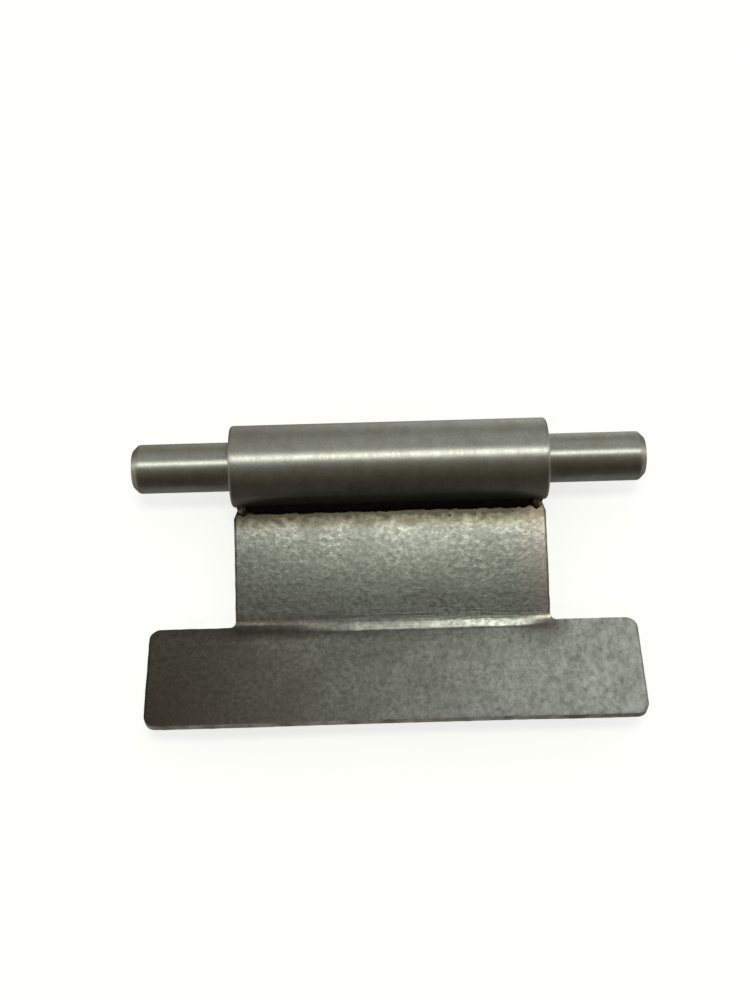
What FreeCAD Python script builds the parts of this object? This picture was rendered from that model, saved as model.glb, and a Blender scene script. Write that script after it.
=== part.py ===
"""Weld-on pivot hinge in stainless steel.

A turned barrel tube carries a bent T-shaped leaf on one side and runs on a
shouldered pin, whose two thinner ends stand out for the ears of a frame.

Frame: X along the pivot axis, Z up, the leaf towards -Y. The origin is on the
pivot axis, halfway along the barrel. The hinge lies on a bench, on the
barrel's lowest line and on the outside of the leaf's bend.
Lengths are in millimetres and angles in degrees.
"""
import FreeCAD, Part
import math
import os

import Sketcher
from FreeCAD import Placement, Rotation, Vector

# Driving dimensions: alias, value, what it measures.
DIMENSIONS = [
    ("pin_diameter", 6.0, "free ends of the hinge pin"),
    ("pin_reach", 12.0, "each pin end beyond the barrel"),
    ("pin_chamfer", 0.8, "45 degree lead-in on each pin end"),
    ("journal_diameter", 7.0, "middle of the pin, which runs in the barrel"),
    ("journal_sink", 0.1, "pin shoulder below the barrel's end, each side"),
    ("groove_width", 2.6, "retaining groove at mid pin, along the axis"),
    ("groove_depth", 0.6, "retaining groove, radial"),
    ("barrel_diameter", 10.0, "outside of the barrel tube"),
    ("barrel_length", 38.5, "barrel tube, shoulder to shoulder"),
    ("barrel_edge", 0.35, "break on the barrel's outer edges"),
    ("bore_diameter", 7.1, "running bore for the pin's journal"),
    ("bore_edge", 0.15, "break on the bore's edges"),
    ("lug_diameter", 1.4, "staked lug that stands in the groove"),
    ("lug_reach", 0.35, "lug, how far it stands inside the bore"),
    ("punch_depth", 1.0, "punch mark behind the lug, from the outside"),
    ("sheet_thickness", 1.0, "leaf sheet"),
    ("sheet_edge", 0.12, "deburred edges of the foot"),
    ("neck_width", 38.5, "narrow part of the leaf"),
    ("neck_reach", 17.73, "pivot axis to the centre of the bend, along the neck"),
    ("neck_offset", 2.34, "pivot axis down to the neck's front face"),
    ("neck_fall", 5.0, "slope of the neck as the hinge lies"),
    ("relief_width", 0.45, "side step of the neck where the seam ends"),
    ("relief_length", 1.2, "ramp of that step, beyond the barrel"),
    ("bend_radius", 6.5, "inside radius of the leaf's bend"),
    ("bend_angle", 28.0, "turn of the foot from the neck's plane"),
    ("foot_width", 59.5, "wide part of the leaf"),
    ("foot_length", 11.63, "foot, from the end of the bend to its free edge"),
    ("shoulder_lap", 1.37, "shoulders of the foot, back over the bend from its end"),
    ("foot_corner", 1.4, "outer corners of the foot"),
    ("inner_corner", 0.8, "corners between neck and foot"),
    ("front_leg", 1.3, "front seam, along the neck and across the barrel"),
    ("rear_leg", 1.0, "rear seam, along the neck and across the barrel"),
    ("tack_leg", 1.6, "end tacks, along the neck and across the barrel"),
    ("tack_length", 1.3, "end tacks, along the seam"),
    ("bead_radius", 1.8, "bulging face of every weld"),
]


def make_sheet(doc):
    """Write the driving dimensions and their aliases into a spreadsheet."""
    sheet = doc.addObject("Spreadsheet::Sheet", "dims")
    for row, (alias, value, meaning) in enumerate(DIMENSIONS, start=1):
        sheet.set(f"A{row}", meaning)
        sheet.set(f"B{row}", str(value))
        sheet.setAlias(f"B{row}", alias)
    doc.recompute()
    return sheet


def new_body(doc, name):
    """Add an empty body whose label is also its file name."""
    body = doc.addObject("PartDesign::Body", name)
    body.Label = name
    return body


def origin_plane(body, role):
    """One of the body's own origin planes, such as XY_Plane."""
    return next(plane for plane in body.Origin.OriginFeatures if plane.Role == role)


def new_sketch(body, name, role):
    """Add a sketch on one of the body's own origin planes."""
    sketch = body.newObject("Sketcher::SketchObject", name)
    sketch.AttachmentSupport = [(origin_plane(body, role), "")]
    sketch.MapMode = "FlatFace"
    return sketch


def bind(item, formulas):
    """Tie properties of a document object to formulas on the sheet."""
    for path, formula in formulas.items():
        item.setExpression(path, formula)


def drive(sketch, name, formula, *constraint):
    """Add a named dimension to a sketch and tie it to a formula."""
    index = sketch.addConstraint(Sketcher.Constraint(*constraint))
    sketch.renameConstraint(index, name)
    sketch.setExpression(f"Constraints.{name}", formula)


def relate(sketch, *constraints):
    """Add constraints that carry no size."""
    for constraint in constraints:
        sketch.addConstraint(Sketcher.Constraint(*constraint))


def add_circle(sketch, name, formula, radius):
    """Add a circle about the sketch's origin, its diameter tied to a formula."""
    circle = sketch.addGeometry(Part.Circle(Vector(0, 0, 0), Vector(0, 0, 1), radius))
    relate(sketch, ("Coincident", circle, 3, -1, 1))
    drive(sketch, name, formula, "Diameter", circle, 2 * radius)


def add_polygon(sketch, corners):
    """Add a closed polygon whose corners are (x, y, x formula, y formula)."""
    points = [Vector(x, y, 0) for x, y, *_ in corners]
    for here, (start, stop) in enumerate(zip(points, points[1:] + points[:1])):
        sketch.addGeometry(Part.LineSegment(start, stop))
        if here:
            relate(sketch, ("Coincident", here - 1, 2, here, 1))
    relate(sketch, ("Coincident", len(points) - 1, 2, 0, 1))
    for line, (x, y, x_formula, y_formula) in enumerate(corners):
        drive(sketch, f"x{line}", x_formula, "DistanceX", -1, 1, line, 1, x)
        drive(sketch, f"y{line}", y_formula, "DistanceY", -1, 1, line, 1, y)


def pad_both_ways(body, sketch, name, formula):
    """Pad a sketch by the same amount to both sides of its plane."""
    pad = body.newObject("PartDesign::Pad", name)
    pad.Profile = sketch
    pad.SideType = "Symmetric"
    pad.setExpression("Length", formula)
    body.Document.recompute()
    return pad


def break_edges(body, kind, name, base, edges, formula):
    """Add a Chamfer or Fillet of one size to the numbered edges of a feature."""
    feature = body.newObject(f"PartDesign::{kind}", name)
    feature.Base = (base, edges)
    feature.setExpression("Size" if kind == "Chamfer" else "Radius", formula)
    body.Document.recompute()
    return feature


def edges_where(shape, wanted):
    """Names of the edges for which wanted(edge) is true."""
    return [f"Edge{n}" for n, edge in enumerate(shape.Edges, start=1) if wanted(edge)]


def end_circles(shape, diameter):
    """Names of the circular edges of this diameter on a round bar's two end faces."""
    end = shape.BoundBox.XMax

    def wanted(edge):
        if not isinstance(edge.Curve, Part.Circle):
            return False
        at_end = abs(abs(edge.Curve.Center.x) - end) < 1e-6
        return at_end and abs(edge.Curve.Radius - diameter / 2) < 1e-6

    return edges_where(shape, wanted)


def make_hinge_pin(doc, sheet):
    """Shouldered pin with chamfered ends and a retaining groove at its middle."""
    body = new_body(doc, "hinge_pin")
    section = new_sketch(body, "pin_section", "YZ_Plane")
    add_circle(section, "diameter", "dims.pin_diameter", 3)
    pad_both_ways(body, section, "pin_rod", "dims.barrel_length + 2 * dims.pin_reach")
    journal = new_sketch(body, "journal_section", "YZ_Plane")
    add_circle(journal, "diameter", "dims.journal_diameter", 3.5)
    rod = pad_both_ways(body, journal, "pin_journal", "dims.barrel_length - 2 * dims.journal_sink")
    ends = end_circles(rod.Shape, sheet.pin_diameter)
    break_edges(body, "Chamfer", "pin_ends", rod, ends, "dims.pin_chamfer")

    slot = new_sketch(body, "groove_profile", "XZ_Plane")
    floor = "dims.journal_diameter / 2 - dims.groove_depth"
    rim = "dims.journal_diameter / 2 + dims.groove_depth"
    left, right = "-dims.groove_width / 2", "dims.groove_width / 2"
    lower = [(-1, 2, left, floor), (1, 2, right, floor)]
    upper = [(1, 4, right, rim), (-1, 4, left, rim)]
    add_polygon(slot, lower + upper)
    groove = body.newObject("PartDesign::Groove", "pin_groove")
    groove.Profile = slot
    groove.ReferenceAxis = (slot, ["H_Axis"])
    groove.Angle = 360
    return body


def make_barrel_tube(doc, sheet):
    """Bored tube, held on the pin by a lug staked into the pin's groove."""
    body = new_body(doc, "barrel_tube")
    section = new_sketch(body, "barrel_section", "YZ_Plane")
    add_circle(section, "outside", "dims.barrel_diameter", 5)
    add_circle(section, "bore", "dims.bore_diameter", 3.5)
    tube = pad_both_ways(body, section, "barrel_wall", "dims.barrel_length")
    rims = end_circles(tube.Shape, sheet.barrel_diameter)
    outer = break_edges(body, "Chamfer", "barrel_rims", tube, rims, "dims.barrel_edge")
    mouths = end_circles(outer.Shape, sheet.bore_diameter)
    break_edges(body, "Chamfer", "bore_mouths", outer, mouths, "dims.bore_edge")

    # The lug is on the underside and reaches from its tip down to the punch mark's floor.
    tip = new_sketch(body, "lug_tip", "XY_Plane")
    tip.setExpression("AttachmentOffset.Base.z", "dims.lug_reach - dims.bore_diameter / 2")
    add_circle(tip, "diameter", "dims.lug_diameter", 0.7)
    lug = body.newObject("PartDesign::Pad", "stake_lug")
    lug.Profile = tip
    lug.Reversed = True
    wall_left = "(dims.barrel_diameter - dims.bore_diameter) / 2 - dims.punch_depth"
    lug.setExpression("Length", f"dims.lug_reach + {wall_left}")

    mark = new_sketch(body, "punch_mark", "XY_Plane")
    mark.setExpression("AttachmentOffset.Base.z", "dims.punch_depth - dims.barrel_diameter / 2")
    add_circle(mark, "diameter", "dims.lug_diameter", 0.7)
    punch = body.newObject("PartDesign::Pocket", "stake_punch")
    punch.Profile = mark
    punch.setExpression("Length", "2 * dims.punch_depth")
    return body


def add_arc(sketch, centre, radius, first, second):
    """Add an arc, its ends given in degrees anticlockwise, and return its index."""
    circle = Part.Circle(Vector(*centre, 0), Vector(0, 0, 1), radius)
    return sketch.addGeometry(Part.ArcOfCircle(circle, math.radians(first), math.radians(second)))


def add_line(sketch, start, stop):
    """Add a straight line and return its index."""
    return sketch.addGeometry(Part.LineSegment(Vector(*start, 0), Vector(*stop, 0)))


def draw_leaf_side(sketch):
    """Outline of the bent leaf seen along the pivot: neck, bend and foot.

    The neck is level and below the pivot axis, its seam end follows the
    barrel, and the foot turns up at the end away from the barrel. The
    starting points are rough: the constraints set the true ones.
    """
    seam = add_arc(sketch, (0, 0), 5, 208, 222)
    neck_rear = add_line(sketch, (-3.7, -3.3), (-19, -3.3))
    outer_bend = add_arc(sketch, (-19, -1.3), 2, 242, 270)
    foot_rear = add_line(sketch, (-20, -3), (-31.5, 3))
    foot_end = add_line(sketch, (-31.5, 3), (-31, 4))
    foot_front = add_line(sketch, (-31, 4), (-19.5, -2.2))
    inner_bend = add_arc(sketch, (-19, -1.3), 1, 242, 270)
    neck_front = add_line(sketch, (-19, -2.3), (-4.4, -2.3))
    relate(
        sketch,
        ("Coincident", seam, 3, -1, 1),
        ("Coincident", seam, 2, neck_rear, 1),
        ("Tangent", neck_rear, 2, outer_bend, 2),
        ("Tangent", outer_bend, 1, foot_rear, 1),
        ("Coincident", foot_rear, 2, foot_end, 1),
        ("Coincident", foot_end, 2, foot_front, 1),
        ("Tangent", foot_front, 2, inner_bend, 1),
        ("Tangent", inner_bend, 2, neck_front, 1),
        ("Coincident", neck_front, 2, seam, 1),
        ("Coincident", inner_bend, 3, outer_bend, 3),
        ("Horizontal", neck_rear),
        ("Horizontal", neck_front),
        ("Perpendicular", foot_end, foot_front),
        ("Parallel", foot_rear, foot_front),
    )
    drive(sketch, "seam_radius", "dims.barrel_diameter / 2", "Radius", seam, 5)
    drive(sketch, "inside", "dims.bend_radius", "Radius", inner_bend, 1)
    drive(sketch, "outside", "dims.bend_radius + dims.sheet_thickness", "Radius", outer_bend, 2)
    drive(sketch, "offset", "-dims.neck_offset", "DistanceY", -1, 1, neck_front, 2, -2.3)
    drive(sketch, "reach", "-dims.neck_reach", "DistanceX", -1, 1, inner_bend, 3, -19)
    drive(sketch, "foot", "dims.foot_length", "Distance", foot_front, 1, foot_front, 2, 13)
    drive(sketch, "turn", "-dims.bend_angle", "Angle", foot_front, math.radians(-28))


def draw_shoulder(sketch):
    """Area cut away beside the neck, with a round inner corner, on the +X side."""
    corner = add_arc(sketch, (20, 1), 0.8, 180, 270)
    foot_top = add_line(sketch, (20, 0), (60, 0))
    outside = add_line(sketch, (60, 0), (60, 19))
    barrel_side = add_line(sketch, (60, 19), (19, 19))
    neck_side = add_line(sketch, (19, 19), (19, 1))
    relate(
        sketch,
        ("Tangent", neck_side, 2, corner, 1),
        ("Tangent", corner, 2, foot_top, 1),
        ("Coincident", foot_top, 2, outside, 1),
        ("Coincident", outside, 2, barrel_side, 1),
        ("Coincident", barrel_side, 2, neck_side, 1),
        ("PointOnObject", foot_top, 2, -1),
        ("Horizontal", foot_top),
        ("Vertical", outside),
        ("Horizontal", barrel_side),
        ("Vertical", neck_side),
    )
    drive(sketch, "corner_radius", "dims.inner_corner", "Radius", corner, 0.8)
    drive(sketch, "half_neck", "dims.neck_width / 2", "DistanceX", -1, 1, neck_side, 1, 19)
    drive(sketch, "clear_side", "dims.foot_width", "DistanceX", -1, 1, outside, 1, 60)
    drive(sketch, "clear_end", "dims.neck_reach", "DistanceY", -1, 1, neck_side, 1, 19)


def cut_through(body, sketch, name):
    """Cut a sketch through the body to both sides of its plane."""
    pocket = body.newObject("PartDesign::Pocket", name)
    pocket.Profile = sketch
    pocket.SideType = "Symmetric"
    pocket.setExpression("Length", "dims.foot_width")
    return pocket


def lay_down(body):
    """Turn a body about the pivot axis to the slope at which the neck lies."""
    body.Placement = Placement(Vector(0, 0, 0), Rotation(Vector(1, 0, 0), 1))
    body.setExpression("Placement.Rotation.Angle", "dims.neck_fall")


def make_leaf_plate(doc, sheet):
    """T-shaped sheet with one bend: a neck welded to the barrel and a wide foot."""
    body = new_body(doc, "leaf_plate")
    side = new_sketch(body, "leaf_side", "YZ_Plane")
    draw_leaf_side(side)
    pad_both_ways(body, side, "bent_strip", "dims.foot_width")

    # The blank is cut square to its face, so the shoulders are cut square to the foot.
    shoulder = new_sketch(body, "shoulder", "XY_Plane")
    shoulder.AttachmentOffset = Placement(Vector(0, 0, 0), Rotation(Vector(1, 0, 0), -1))
    turn = "dims.bend_angle * 1 deg"
    bind(
        shoulder,
        {
            "AttachmentOffset.Rotation.Angle": "-dims.bend_angle",
            "AttachmentOffset.Base.y": "-dims.neck_reach"
            f" - dims.bend_radius * sin({turn}) + dims.shoulder_lap * cos({turn})",
            "AttachmentOffset.Base.z": "-dims.neck_offset"
            f" + dims.bend_radius * (1 - cos({turn})) - dims.shoulder_lap * sin({turn})",
        },
    )
    draw_shoulder(shoulder)
    shoulder_cut = cut_through(body, shoulder, "shoulder_cut")

    relief = new_sketch(body, "relief", "XY_Plane")
    half, bar = "dims.neck_width / 2", "dims.barrel_diameter / 2"
    inner = f"{half} - dims.relief_width"
    outer = f"{half} + dims.relief_width"
    ramp_end = f"-{bar} - 2 * dims.relief_length"
    neck_corners = [(18, 0, inner, "0"), (18, -5, inner, f"-{bar}")]
    ramp_corners = [(20, -7, outer, ramp_end), (20, 0, outer, "0")]
    add_polygon(relief, neck_corners + ramp_corners)
    relief_cut = cut_through(body, relief, "relief_cut")

    mirror = body.newObject("PartDesign::Mirrored", "both_sides")
    mirror.Originals = [shoulder_cut, relief_cut]
    mirror.MirrorPlane = (origin_plane(body, "YZ_Plane"), [""])
    body.Tip = mirror
    doc.recompute()

    def on_foot_side(edge):
        return abs(abs(edge.CenterOfMass.x) - sheet.foot_width / 2) < 1e-6

    def across(edge):
        start, stop = (vertex.Point for vertex in edge.Vertexes)
        return abs((stop - start).Length - sheet.sheet_thickness) < 0.05 * sheet.sheet_thickness

    corners = edges_where(mirror.Shape, lambda e: on_foot_side(e) and across(e))
    rounded = break_edges(body, "Fillet", "foot_corners", mirror, corners, "dims.foot_corner")
    long_sides = edges_where(rounded.Shape, lambda e: on_foot_side(e) and not across(e))
    break_edges(body, "Fillet", "foot_edges", rounded, long_sides, "dims.sheet_edge")
    lay_down(body)
    return body


def draw_weld(sketch, front, leg):
    """Section of a weld between barrel and neck: in front of the neck or behind it.

    The weld's three sides are the barrel, the neck's face and a bulging face
    between the two toes. leg is the formula for both of its legs.
    """
    if front:
        toe, corner = 1, 2
        on_barrel = add_arc(sketch, (0, 0), 5, 194, 208)
        on_neck = add_line(sketch, (-4.4, -2.3), (-5.7, -2.3))
        crown = add_arc(sketch, (-4, -2.8), 1.8, 119, 166)
        depth, rough_depth = "-dims.neck_offset", -2.3
    else:
        toe, corner = 2, 1
        on_barrel = add_arc(sketch, (0, 0), 5, 222, 233)
        on_neck = add_line(sketch, (-3.7, -3.3), (-4.7, -3.3))
        crown = add_arc(sketch, (-3.3, -2.2), 1.8, 218, 280)
        depth, rough_depth = "-dims.neck_offset - dims.sheet_thickness", -3.3
    relate(
        sketch,
        ("Coincident", on_barrel, 3, -1, 1),
        ("Coincident", on_barrel, corner, on_neck, 1),
        ("Coincident", on_neck, 2, crown, corner),
        ("Coincident", crown, toe, on_barrel, toe),
        ("Horizontal", on_neck),
    )
    drive(sketch, "barrel_radius", "dims.barrel_diameter / 2", "Radius", on_barrel, 5)
    drive(sketch, "depth", depth, "DistanceY", -1, 1, on_neck, 1, rough_depth)
    drive(sketch, "neck_leg", leg, "Distance", on_neck, 1, on_neck, 2, 1.3)
    drive(sketch, "barrel_leg", leg, "Distance", on_barrel, 1, on_barrel, 2, 1.3)
    drive(sketch, "crown_radius", "dims.bead_radius", "Radius", crown, 1.8)


def make_weld(doc, name, front, leg, start, length):
    """Straight weld bead whose start and length along the seam are formulas."""
    body = new_body(doc, name)
    section = new_sketch(body, f"{name}_section", "YZ_Plane")
    section.setExpression("AttachmentOffset.Base.z", start)
    draw_weld(section, front, leg)
    bead = body.newObject("PartDesign::Pad", f"{name}_bead")
    bead.Profile = section
    bead.setExpression("Length", length)
    lay_down(body)
    return body


def make_welds(doc):
    """Two seams along the neck's end, and a tack at each end of the front seam."""
    half_seam = "(dims.neck_width / 2 - dims.relief_width)"
    left_end = f"-{half_seam}"
    bead_start = f"dims.tack_length - {half_seam}"
    bead_length = f"2 * ({half_seam} - dims.tack_length)"
    right_tack = f"{half_seam} - dims.tack_length"
    return [
        make_weld(doc, "front_weld_bead", True, "dims.front_leg", bead_start, bead_length),
        make_weld(doc, "rear_weld_bead", False, "dims.rear_leg", left_end, f"2 * {half_seam}"),
        make_weld(doc, "left_tack_weld", True, "dims.tack_leg", left_end, "dims.tack_length"),
        make_weld(doc, "right_tack_weld", True, "dims.tack_leg", right_tack, "dims.tack_length"),
    ]


def check(doc, bodies):
    """Stop if any object failed to compute or any sub-part isn't one valid solid."""
    for item in doc.Objects:
        if {"Invalid", "Error"} & set(item.State):
            raise RuntimeError(f"{item.Name} failed: {item.State}")
        if item.isDerivedFrom("Sketcher::SketchObject") and not item.FullyConstrained:
            raise RuntimeError(f"{item.Name} isn't fully constrained")
    for body in bodies:
        shape = body.Shape
        if shape.isNull() or not shape.isValid() or len(shape.Solids) != 1:
            raise RuntimeError(f"{body.Label} isn't one valid solid")


def main():
    """Build every sub-part and write it to parts/ under its own name."""
    doc = FreeCAD.newDocument("pivot_hinge")
    sheet = make_sheet(doc)
    bodies = [make_hinge_pin(doc, sheet), make_barrel_tube(doc, sheet), make_leaf_plate(doc, sheet)]
    bodies += make_welds(doc)
    doc.recompute()
    check(doc, bodies)
    os.makedirs("parts", exist_ok=True)
    for body in bodies:
        body.Shape.exportStep(f"parts/{body.Label}.step")
        print(f"{body.Label}: {body.Shape.Volume:.2f} cubic mm")


main()
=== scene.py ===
"""Pivot leaf of a small door hinge: shouldered pin, barrel tube and a welded T-shaped leaf.

Lengths in the classes are in millimetres, as on a drawing, and become metres
when a mesh is written. The hinge turns about the X axis through the origin.
"""

import logging
import math
import random
from dataclasses import dataclass, field, replace
from enum import Enum
from typing import Callable, Iterable, Sequence

import bmesh
import bpy
from mathutils import Matrix, Vector, noise


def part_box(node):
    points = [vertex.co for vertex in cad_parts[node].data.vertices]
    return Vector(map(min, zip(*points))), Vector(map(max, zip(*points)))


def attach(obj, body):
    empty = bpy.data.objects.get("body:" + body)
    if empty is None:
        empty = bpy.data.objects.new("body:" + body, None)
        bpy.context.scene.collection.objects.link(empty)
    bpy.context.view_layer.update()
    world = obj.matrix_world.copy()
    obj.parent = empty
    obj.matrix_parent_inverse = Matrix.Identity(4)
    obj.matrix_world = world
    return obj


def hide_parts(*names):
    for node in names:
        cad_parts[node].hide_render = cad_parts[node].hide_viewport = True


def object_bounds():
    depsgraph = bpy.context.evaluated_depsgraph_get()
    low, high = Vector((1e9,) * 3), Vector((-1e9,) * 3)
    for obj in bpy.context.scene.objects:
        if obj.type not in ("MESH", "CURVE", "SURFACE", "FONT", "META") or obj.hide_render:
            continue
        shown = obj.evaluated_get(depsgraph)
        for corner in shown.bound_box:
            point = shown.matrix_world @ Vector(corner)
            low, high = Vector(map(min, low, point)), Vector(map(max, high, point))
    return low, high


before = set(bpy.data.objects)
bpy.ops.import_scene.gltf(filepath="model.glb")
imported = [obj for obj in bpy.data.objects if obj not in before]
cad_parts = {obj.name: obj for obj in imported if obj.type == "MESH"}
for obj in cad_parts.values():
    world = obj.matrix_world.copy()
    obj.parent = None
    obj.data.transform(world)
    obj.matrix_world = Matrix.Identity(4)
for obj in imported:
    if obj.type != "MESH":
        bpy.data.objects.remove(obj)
CAD_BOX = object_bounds()

LOG = logging.getLogger("pivot_hinge")
MM = 0.001
PER_METRE_TO_MM = 1000.0
QUARTER_TURN = 0.25
Rgba = tuple[float, float, float, float]
Bmesh = bmesh.types.BMesh
Thing = bpy.types.Object

# Colour sockets of a Mix node, and the one step of a mask that isn't arithmetic.
MIX_A, MIX_B = 6, 7
SPREAD = "SPREAD"

# Driving sizes that several classes share, in millimetres and degrees.
BARREL_RADIUS = 5.0
NECK_FRONT = -2.34
NECK_TILT = 5.0
BEND_TURN = 28.0
BEND_CORNER = -19.349
# Places closer than this, in millimetres, are the same place.
NEAR = 0.01


class Body(Enum):
    """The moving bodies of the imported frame."""

    PIN = "pin"
    LEAF = "leaf"


class Side(Enum):
    """Which face of the neck a weld lies on; the value points away from the sheet."""

    FRONT = 1
    REAR = -1


def linear(code: str) -> Rgba:
    """Turn an sRGB hex colour into linear light.

    Args:
        code: Colour as "#rrggbb".

    Returns:
        Red, green, blue and an alpha of one.
    """
    parts = [int(code[i : i + 2], 16) / 255 for i in (1, 3, 5)]
    red, green, blue = (
        part / 12.92 if part <= 0.04045 else ((part + 0.055) / 1.055) ** 2.4
        for part in parts
    )
    return (red, green, blue, 1.0)


def feed(node: bpy.types.Node, inputs: dict[int | str, object]) -> None:
    """Set or link a node's inputs.

    Args:
        node: Node whose inputs are set.
        inputs: Socket name or number to a plain value, a socket, or a node, which
            stands for the first output that it has open.
    """
    for key, value in inputs.items():
        if isinstance(value, bpy.types.Node):
            value = next(socket for socket in value.outputs if socket.enabled)
        if isinstance(value, bpy.types.NodeSocket):
            node.id_data.links.new(value, node.inputs[key])
        else:
            node.inputs[key].default_value = value


def add_node(
    tree: bpy.types.NodeTree,
    kind: str,
    inputs: dict[int | str, object] | None = None,
    stops: Sequence[tuple[float, Rgba]] = (),
    **settings: object,
) -> bpy.types.Node:
    """Add one node with its settings and links.

    Args:
        tree: Node tree that gets the node.
        kind: Node type without the leading "ShaderNode".
        inputs: What goes into its sockets, as for feed().
        stops: Positions and colours, for a colour ramp only.
        **settings: Properties of the node.

    Returns:
        The new node.
    """
    node = tree.nodes.new("ShaderNode" + kind)
    for name, value in settings.items():
        setattr(node, name, value)
    feed(node, inputs or {})
    if stops:
        ramp = node.color_ramp.elements
        while len(ramp) < len(stops):
            ramp.new(1.0)
        for element, (place, colour) in zip(ramp, stops):
            element.position = place
            element.color = colour
    return node


def grey(level: float) -> Rgba:
    """A neutral colour of this linear level."""
    return (level, level, level, 1.0)


def tinge(level: float, warmth: float) -> Rgba:
    """Light of one level, from neutral to lamp-lit brown.

    Args:
        level: Linear brightness.
        warmth: 0 for neutral, 1 for brown.

    Returns:
        The colour, with an alpha of one.
    """
    return (
        level * (1.0 + 0.12 * warmth),
        level * (1.02 - 0.05 * warmth),
        level * (0.97 - 0.28 * warmth),
        1.0,
    )


@dataclass(frozen=True)
class Finish:
    """What every steel finish has: a name, a colour and how rough it is.

    A metal's colour is its reflection; the index of refraction stays as it is.
    """

    name: str
    colour: str
    roughness: float

    def start(self) -> tuple[bpy.types.Material, bpy.types.NodeTree, bpy.types.Node]:
        """Make the material with a metallic surface shader.

        Returns:
            The material, its node tree and the shader node.
        """
        material = bpy.data.materials.new(self.name)
        material.use_nodes = True
        tree = material.node_tree
        surface = tree.nodes["Principled BSDF"]
        feed(
            surface,
            {
                "Metallic": 1.0,
                "Roughness": self.roughness,
                "Base Color": linear(self.colour),
            },
        )
        return material, tree, surface

    @staticmethod
    def millimetres(tree: bpy.types.NodeTree, turn: float = 0.0) -> bpy.types.Node:
        """Object coordinates in millimetres.

        Args:
            tree: Node tree of the material.
            turn: Turn about X in degrees, to line a pattern up with a sloping sheet.

        Returns:
            The node that gives the coordinates.
        """
        return add_node(
            tree,
            "Mapping",
            {
                "Vector": add_node(tree, "TexCoord").outputs["Object"],
                "Scale": (PER_METRE_TO_MM,) * 3,
                "Rotation": (math.radians(turn), 0.0, 0.0),
            },
        )


@dataclass(frozen=True)
class TurnedSteel(Finish):
    """Stainless bar or tube, turned on the lathe and fine sanded.

    The fine rings round the axis smear a highlight lengthwise into a grainy
    band, and the end faces show the same tool marks as circles. The rings are
    drawn a little coarser than real ones, so that they still show.
    """

    ring_mm: float
    ring_depth_mm: float
    stain: str
    smear: float

    def make(self) -> bpy.types.Material:
        """Build the node tree.

        Returns:
            The finished material.
        """
        material, tree, surface = self.start()
        place = self.millimetres(tree)
        along, back, _ = add_node(tree, "SeparateXYZ", {0: place}).outputs
        across = add_node(
            tree, "VectorMath", {0: place, 1: (0.0, 1.0, 1.0)}, operation="MULTIPLY"
        )
        radius = add_node(tree, "VectorMath", {0: across}, operation="LENGTH")
        drift = add_node(tree, "Math", {0: back, 1: 0.06}, operation="MULTIPLY")
        rings = add_node(tree, "CombineXYZ", {0: along, 1: radius, 2: drift})
        # Rings of the tool; handling marks, a few millimetres across; sanded pits.
        tool_marks, cloud, speck = (
            add_node(
                tree,
                "TexNoise",
                {"Vector": where, "Scale": scale, "Detail": detail, "Roughness": rough},
            )
            for where, scale, detail, rough in (
                (rings, 1.0 / self.ring_mm, 4.0, 0.7),
                (place, 0.45, 5.0, 0.6),
                (place, 3.2, 4.0, 0.75),
            )
        )
        worn = add_node(
            tree,
            "MapRange",
            {"Value": cloud, "From Min": 0.42, "From Max": 0.75, "To Max": 0.45},
        )
        tinted = add_node(
            tree,
            "Mix",
            {"Factor": worn, MIX_A: linear(self.colour), MIX_B: linear(self.stain)},
            data_type="RGBA",
        )
        grain = add_node(
            tree, "ValToRGB", {"Fac": speck}, stops=[(0.3, grey(0.72)), (0.7, grey(1.0))]
        )
        colour = add_node(
            tree,
            "Mix",
            {"Factor": 1.0, MIX_A: tinted, MIX_B: grain},
            data_type="RGBA",
            blend_type="MULTIPLY",
        )
        rough = add_node(
            tree,
            "MapRange",
            {
                "Value": tool_marks,
                "From Min": 0.3,
                "From Max": 0.7,
                "To Min": self.roughness - 0.04,
                "To Max": self.roughness + 0.06,
            },
        )
        relief = add_node(
            tree,
            "Bump",
            {"Height": tool_marks, "Strength": 1.0, "Distance": self.ring_depth_mm * MM},
        )
        pits = add_node(
            tree,
            "Bump",
            {
                "Height": speck,
                "Strength": 1.0,
                "Distance": 0.5 * self.ring_depth_mm * MM,
                "Normal": relief,
            },
        )
        feed(
            surface,
            {
                "Base Color": colour,
                "Roughness": rough,
                "Normal": pits,
                "Anisotropic": self.smear,
                "Anisotropic Rotation": QUARTER_TURN,
                "Tangent": add_node(tree, "Tangent", direction_type="RADIAL", axis="X"),
            },
        )
        return material


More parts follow.
